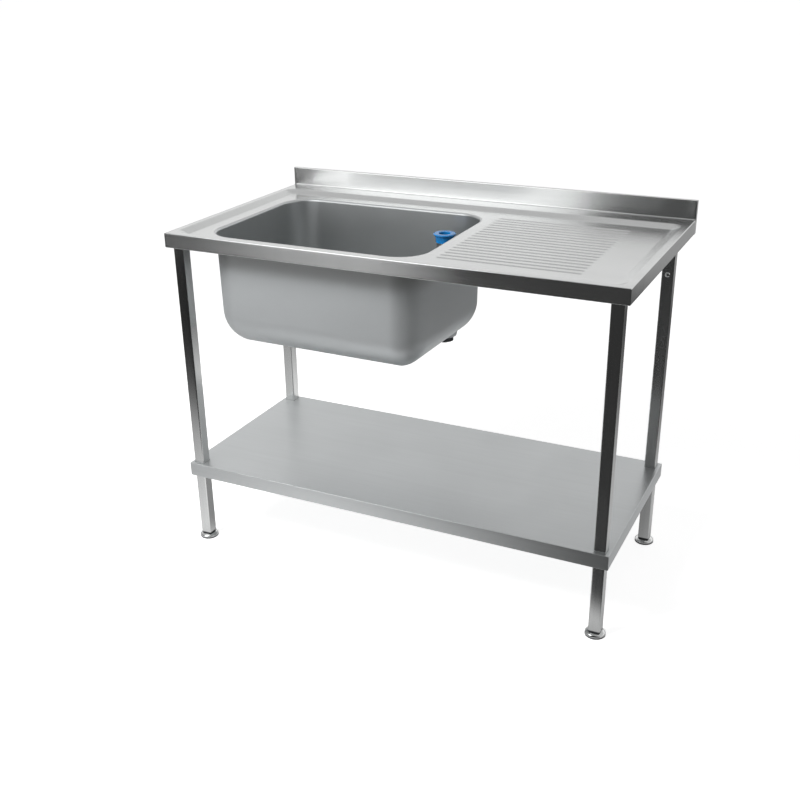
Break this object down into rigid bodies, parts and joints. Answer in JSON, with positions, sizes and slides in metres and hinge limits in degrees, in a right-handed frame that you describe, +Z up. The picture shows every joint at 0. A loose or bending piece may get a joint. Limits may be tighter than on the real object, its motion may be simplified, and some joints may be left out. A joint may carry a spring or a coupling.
{
  "type": "kitchen sink with drainboard",
  "caption": "Free-standing stainless steel sink unit with a deep bowl, ribbed drainer, rear upstand, square legs, undershelf, levelling feet and a lift-out standpipe.",
  "frame": {"origin": "on the floor under the centre of the worktop", "axes": "+X to the right along the front, +Y to the back (the wall), +Z up"},
  "size_m": [1.2, 0.66, 0.94],
  "materials": {
    "worktop_steel": "brushed along the length",
    "bowl_steel": "satin, deep drawn",
    "shelf_steel": "satin",
    "leg_steel": "brushed along the leg",
    "galvanised_steel": "galvanised, matt",
    "screw_steel": "polished",
    "foot_steel": "polished, turned",
    "foot_plastic": "matt, moulded",
    "waste_plastic": "satin, moulded",
    "rubber": "matt",
    "blue_plastic": "glossy, moulded"
  },
  "bodies": {
    "frame": {"sink_top": "worktop_steel", "upstand_end_left": "worktop_steel", "upstand_end_right": "worktop_steel", "bowl": "bowl_steel", "drainer_channel": "galvanised_steel", "side_channel_left": "galvanised_steel", "side_channel_right": "galvanised_steel", "undershelf": "shelf_steel", "shelf_channel": "galvanised_steel", "waste_body": "screw_steel", "waste_seal_upper": "rubber", "waste_seal_lower": "rubber", "waste_nut": "waste_plastic", "leg_front_left": "leg_steel", "leg_socket_front_left": "galvanised_steel", "leg_screw_front_left": "screw_steel", "shelf_bracket_front_left": "galvanised_steel", "shelf_screw_front_left": "screw_steel", "foot_insert_front_left": "foot_plastic", "leg_front_right": "leg_steel", "leg_socket_front_right": "galvanised_steel", "leg_screw_front_right": "screw_steel", "shelf_bracket_front_right": "galvanised_steel", "shelf_screw_front_right": "screw_steel", "foot_insert_front_right": "foot_plastic", "leg_rear_left": "leg_steel", "leg_socket_rear_left": "galvanised_steel", "leg_screw_rear_left": "screw_steel", "shelf_bracket_rear_left": "galvanised_steel", "shelf_screw_rear_left": "screw_steel", "foot_insert_rear_left": "foot_plastic", "leg_rear_right": "leg_steel", "leg_socket_rear_right": "galvanised_steel", "leg_screw_rear_right": "screw_steel", "shelf_bracket_rear_right": "galvanised_steel", "shelf_screw_rear_right": "screw_steel", "foot_insert_rear_right": "foot_plastic"},
    "standpipe": {"standpipe_tube": "screw_steel", "standpipe_collar": "blue_plastic", "standpipe_plug": "rubber"},
    "foot_pad_front_left": {"foot_pad_front_left": "foot_plastic"},
    "foot_screw_front_left": {"foot_screw_front_left": "foot_steel"},
    "foot_pad_front_right": {"foot_pad_front_right": "foot_plastic"},
    "foot_screw_front_right": {"foot_screw_front_right": "foot_steel"},
    "foot_pad_rear_left": {"foot_pad_rear_left": "foot_plastic"},
    "foot_screw_rear_left": {"foot_screw_rear_left": "foot_steel"},
    "foot_pad_rear_right": {"foot_pad_rear_right": "foot_plastic"},
    "foot_screw_rear_right": {"foot_screw_rear_right": "foot_steel"}
  },
  "joints": [
    {"name": "standpipe_lift", "type": "slide", "parent": "frame", "child": "standpipe", "axis": [0, 0, 1], "range_m": [0, 0.3]},
    {"name": "foot_travel_front_left", "type": "slide", "parent": "frame", "child": "foot_pad_front_left", "axis": [0, 0, -1], "range_m": [0, 0.025]},
    {"name": "foot_turn_front_left", "type": "hinge", "parent": "foot_pad_front_left", "child": "foot_screw_front_left", "pos_m": [-0.57, -0.301, 0.009], "axis": [0, 0, -1], "range_deg": [0, 5990]},
    {"name": "foot_travel_front_right", "type": "slide", "parent": "frame", "child": "foot_pad_front_right", "axis": [0, 0, -1], "range_m": [0, 0.025]},
    {"name": "foot_turn_front_right", "type": "hinge", "parent": "foot_pad_front_right", "child": "foot_screw_front_right", "pos_m": [0.57, -0.301, 0.009], "axis": [0, 0, -1], "range_deg": [0, 5990]},
    {"name": "foot_travel_rear_left", "type": "slide", "parent": "frame", "child": "foot_pad_rear_left", "axis": [0, 0, -1], "range_m": [0, 0.025]},
    {"name": "foot_turn_rear_left", "type": "hinge", "parent": "foot_pad_rear_left", "child": "foot_screw_rear_left", "pos_m": [-0.57, 0.185, 0.009], "axis": [0, 0, -1], "range_deg": [0, 5990]},
    {"name": "foot_travel_rear_right", "type": "slide", "parent": "frame", "child": "foot_pad_rear_right", "axis": [0, 0, -1], "range_m": [0, 0.025]},
    {"name": "foot_turn_rear_right", "type": "hinge", "parent": "foot_pad_rear_right", "child": "foot_screw_rear_right", "pos_m": [0.57, 0.185, 0.009], "axis": [0, 0, -1], "range_deg": [0, 5990]}
  ],
  "couplings": [
    {"joint": "foot_travel_front_left", "follows": "foot_turn_front_left", "m_per_rad": 0.00023873},
    {"joint": "foot_travel_front_right", "follows": "foot_turn_front_right", "m_per_rad": 0.00023873},
    {"joint": "foot_travel_rear_left", "follows": "foot_turn_rear_left", "m_per_rad": 0.00023873},
    {"joint": "foot_travel_rear_right", "follows": "foot_turn_rear_right", "m_per_rad": 0.00023873}
  ]
}
